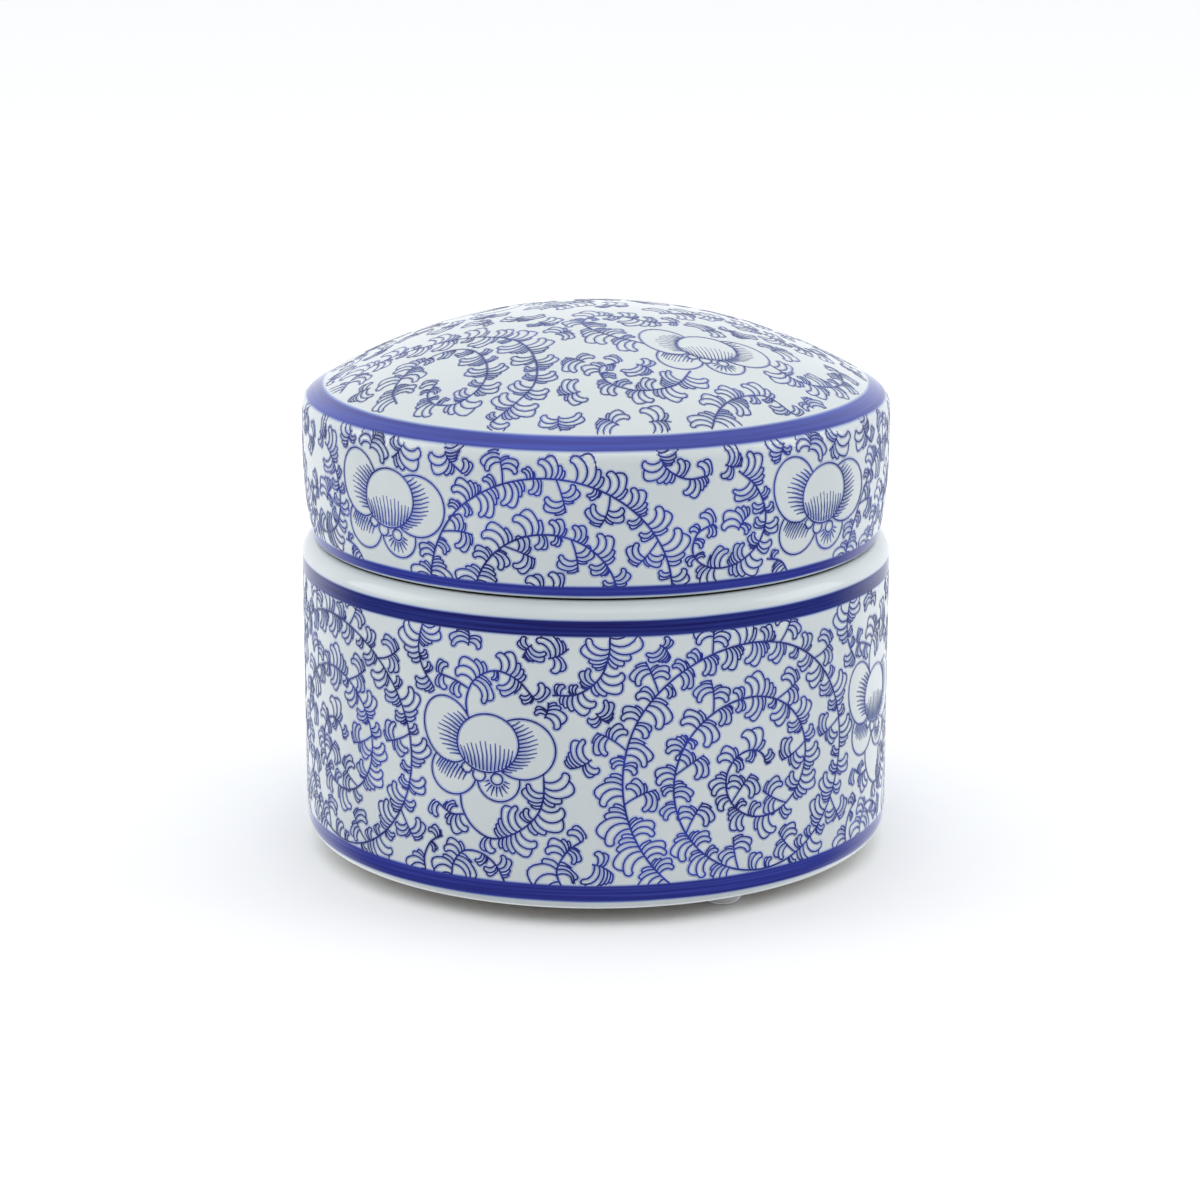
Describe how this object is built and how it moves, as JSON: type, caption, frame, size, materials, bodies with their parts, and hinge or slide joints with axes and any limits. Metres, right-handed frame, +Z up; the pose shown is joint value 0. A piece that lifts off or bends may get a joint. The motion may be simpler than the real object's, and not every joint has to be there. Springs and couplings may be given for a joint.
{
  "type": "trinket box",
  "caption": "Round blue-and-white porcelain trinket box with a domed lid that lifts off a raised collar, standing on clear stick-on feet.",
  "frame": {"origin": "on the centre line of the box, on the surface that its feet stand on", "axes": "+Z up along the centre line of the box and lid, -Y is the front, +X to the right seen from the front"},
  "size_m": [0.15, 0.15, 0.1388],
  "materials": {
    "porcelain": "glossy clear glaze over blue painted decoration",
    "clear_foot": "clear soft polyurethane, smooth"
  },
  "bodies": {
    "box": {"body": "porcelain", "foot_1": "clear_foot", "foot_2": "clear_foot", "foot_3": "clear_foot"},
    "lid": {"lid": "porcelain"}
  },
  "joints": [
    {"name": "lid_lift", "type": "slide", "parent": "box", "child": "lid", "axis": [0, 0, 1], "range_m": [0, 0.065]}
  ]
}
